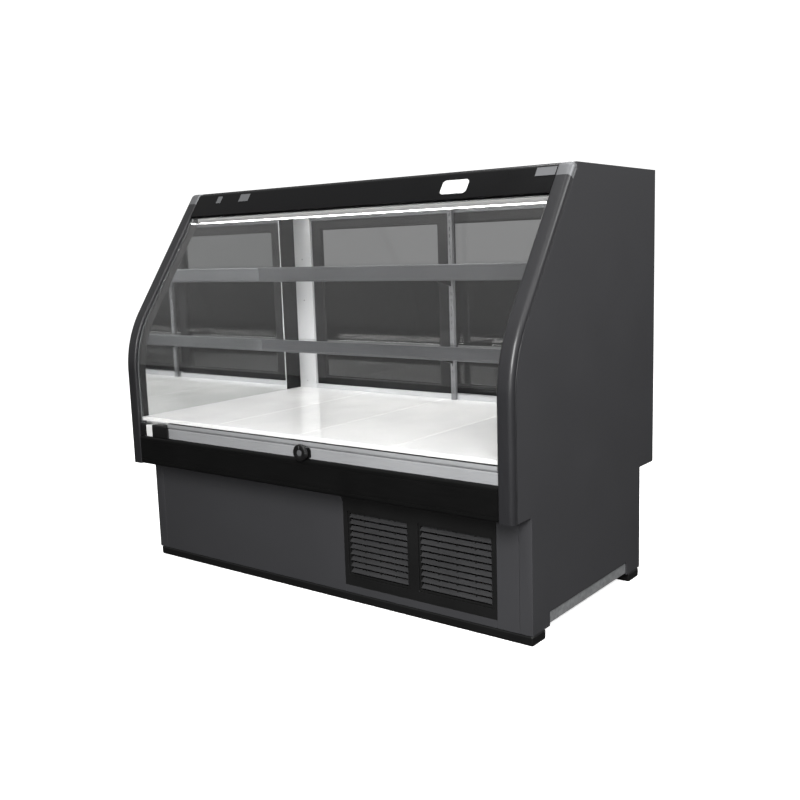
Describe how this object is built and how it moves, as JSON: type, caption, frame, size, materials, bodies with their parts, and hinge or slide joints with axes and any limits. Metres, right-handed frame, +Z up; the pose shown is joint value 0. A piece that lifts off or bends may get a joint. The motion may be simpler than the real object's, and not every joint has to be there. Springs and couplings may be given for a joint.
{
  "type": "glass display showcase",
  "caption": "Refrigerated counter showcase with a leaning curved front glass, mirrored ends, glass shelves, sliding rear doors and a louvred cooling base, for showing and serving food.",
  "frame": {"origin": "middle of the whole outline, on the floor", "axes": "+X to the viewer's right when facing the customer side, -Y towards the customer, +Z up"},
  "size_m": [1.524, 0.882, 1.27],
  "materials": {
    "dark_laminate": "charcoal high-pressure laminate, satin",
    "gloss_edge_trim": "dark anodised, polished",
    "end_mirror": "silvered",
    "black_enamel": "semi-gloss black enamel",
    "white_plate": "gloss white, blank",
    "lamp_diffuser": "opal white, lit",
    "black_vinyl": "black vinyl bumper, satin",
    "satin_aluminium": "satin anodised",
    "black_door_frame": "black anodised, satin",
    "black_plastic": "moulded black plastic",
    "insulated_liner": "white foamed liner, moulded skin",
    "white_enamel": "white baked enamel",
    "coil_fins": "bright thin fins",
    "shelf_glass": "clear toughened",
    "front_glass": "clear toughened, curved",
    "door_glass": "lightly smoked",
    "grille_black": "black powder coat",
    "galvanised_steel": "pale galvanised",
    "unit_black": "black machine enamel"
  },
  "bodies": {
    "cabinet": {"end_panel_left": "dark_laminate", "end_panel_right": "dark_laminate", "edge_trim_left": "gloss_edge_trim", "edge_trim_right": "gloss_edge_trim", "end_mirror_left": "end_mirror", "end_mirror_right": "end_mirror", "canopy_front_rail": "black_enamel", "canopy_top": "dark_laminate", "name_plate": "white_plate", "canopy_lamp": "lamp_diffuser", "front_bumper": "black_vinyl", "front_sill": "satin_aluminium", "sill_end_block": "black_plastic", "insulated_tub": "insulated_liner", "display_deck": "white_enamel", "evaporator_coil": "coil_fins", "rear_lower_panel": "dark_laminate", "shelf_upper_glass": "shelf_glass", "shelf_upper_rail": "satin_aluminium", "shelf_upper_lamp": "lamp_diffuser", "shelf_upper_bracket_left": "black_enamel", "shelf_upper_bracket_centre": "black_enamel", "shelf_upper_bracket_right": "black_enamel", "shelf_lower_glass": "shelf_glass", "shelf_lower_rail": "satin_aluminium", "shelf_lower_lamp": "lamp_diffuser", "shelf_lower_bracket_left": "black_enamel", "shelf_lower_bracket_centre": "black_enamel", "shelf_lower_bracket_right": "black_enamel", "centre_standard": "satin_aluminium", "rear_sill_track": "satin_aluminium", "rear_head_track": "satin_aluminium", "rear_jamb_left": "satin_aluminium", "rear_jamb_right": "satin_aluminium", "base_front_panel": "dark_laminate", "base_front_stile": "dark_laminate", "base_front_strip": "dark_laminate", "grille_surround": "grille_black", "louvre_grille_left": "grille_black", "louvre_grille_right": "grille_black", "base_rear_panel": "dark_laminate", "base_pan": "galvanised_steel", "base_rail_left": "galvanised_steel", "base_rail_right": "galvanised_steel", "front_runner": "black_plastic", "rear_runner": "black_plastic", "condenser_coil": "coil_fins", "fan_motor": "unit_black", "compressor": "unit_black", "control_box": "black_enamel"},
    "front_glass_assembly": {"front_glass": "front_glass", "glass_hinge_channel": "satin_aluminium"},
    "lock_knob": {"glass_lock_knob": "black_plastic"},
    "rear_door_left": {"rear_door_left_frame": "black_door_frame", "rear_door_left_glass": "door_glass"},
    "rear_door_right": {"rear_door_right_frame": "black_door_frame", "rear_door_right_glass": "door_glass"},
    "condenser_fan_rotor": {"condenser_fan": "black_enamel"},
    "thermostat_dial": {"thermostat_dial": "black_plastic"},
    "light_switch": {"light_switch": "black_plastic"}
  },
  "joints": [
    {"name": "front_glass_tilt", "type": "hinge", "parent": "cabinet", "child": "front_glass_assembly", "pos_m": [0, -0.415, 0.495], "axis": [1, 0, 0], "range_deg": [0, 35]},
    {"name": "glass_lock_turn", "type": "hinge", "parent": "cabinet", "child": "lock_knob", "pos_m": [0.042, -0.429, 0.4715], "axis": [0, 1, 0], "range_deg": [0, 90]},
    {"name": "rear_door_left_slide", "type": "slide", "parent": "cabinet", "child": "rear_door_left", "axis": [1, 0, 0], "range_m": [0, 0.6]},
    {"name": "rear_door_right_slide", "type": "slide", "parent": "cabinet", "child": "rear_door_right", "axis": [-1, 0, 0], "range_m": [0, 0.6]},
    {"name": "condenser_fan_spin", "type": "hinge", "parent": "cabinet", "child": "condenser_fan_rotor", "pos_m": [0.383, -0.215, 0.18], "axis": [0, 1, 0], "continuous": true},
    {"name": "thermostat_turn", "type": "hinge", "parent": "cabinet", "child": "thermostat_dial", "pos_m": [0.514, 0.391, 0.286], "axis": [0, 1, 0], "range_deg": [0, 270]},
    {"name": "light_switch_rock", "type": "hinge", "parent": "cabinet", "child": "light_switch", "pos_m": [0.604, 0.3853, 0.286], "axis": [1, 0, 0], "range_deg": [0, 18]}
  ]
}
